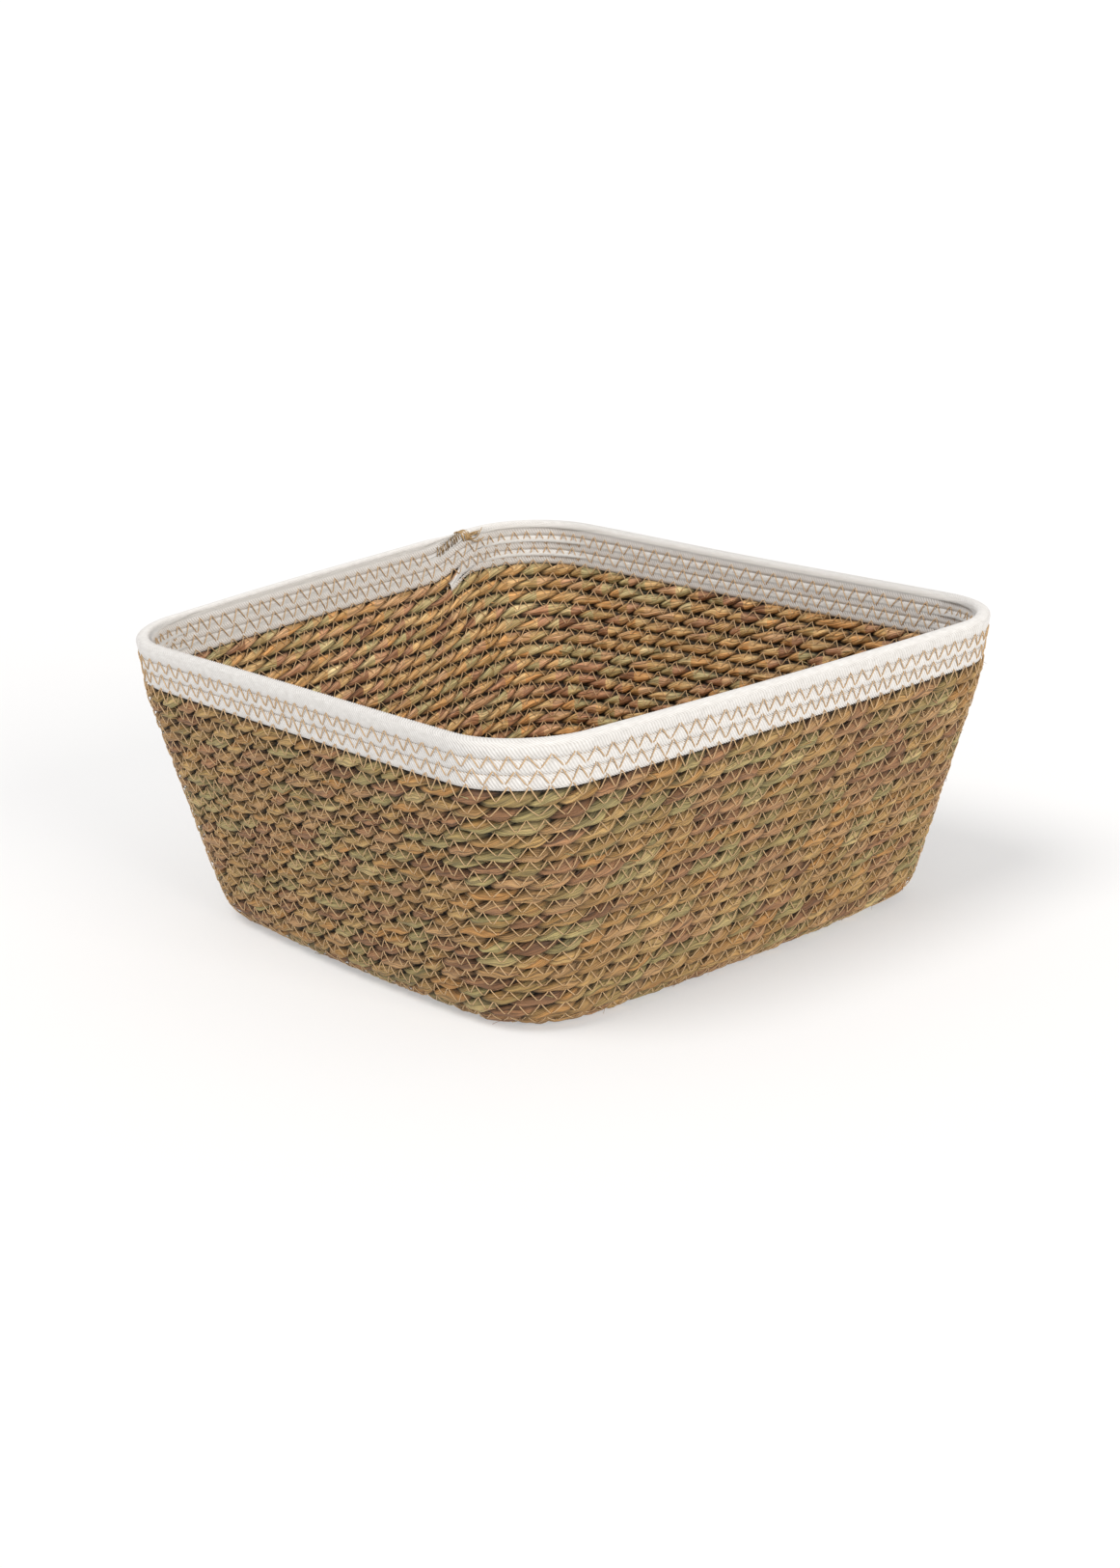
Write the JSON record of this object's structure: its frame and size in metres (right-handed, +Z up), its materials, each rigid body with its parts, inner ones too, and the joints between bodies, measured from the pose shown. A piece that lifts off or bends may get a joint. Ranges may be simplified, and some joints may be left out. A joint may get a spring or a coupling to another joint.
{
  "type": "storage basket",
  "caption": "Near-square open storage basket sewn from coiled twisted seagrass rope, with rounded corners, walls that lean outward and a white corded rim",
  "frame": {"origin": "middle of the basket's box seen from above, on the surface that it stands on", "axes": "+Z is up, out of the open top; X and Y run across the basket, along its nearly square sides"},
  "size_m": [0.3338, 0.3374, 0.1454],
  "materials": {
    "seagrass": "matte",
    "white_cord": "matte",
    "tan_thread": "matte"
  },
  "bodies": {
    "root": {"base_coil": "seagrass", "wall_course_01": "seagrass", "wall_course_02": "seagrass", "wall_course_03": "seagrass", "wall_course_04": "seagrass", "wall_course_05": "seagrass", "wall_course_06": "seagrass", "wall_course_07": "seagrass", "wall_course_08": "seagrass", "wall_course_09": "seagrass", "wall_course_10": "seagrass", "wall_course_11": "seagrass", "wall_course_12": "seagrass", "wall_course_13": "seagrass", "wall_course_14": "seagrass", "wall_course_15": "seagrass", "wall_course_16": "seagrass", "wall_course_17": "seagrass", "wall_course_18": "seagrass", "wall_course_19": "seagrass", "rim_cord_course_1": "white_cord", "rim_cord_course_2": "white_cord", "rim_cord_course_3": "white_cord", "rim_thread_outside": "tan_thread", "rim_thread_inside": "tan_thread", "rim_bar_tack": "tan_thread", "rim_end_wrap": "tan_thread"}
  },
  "joints": []
}
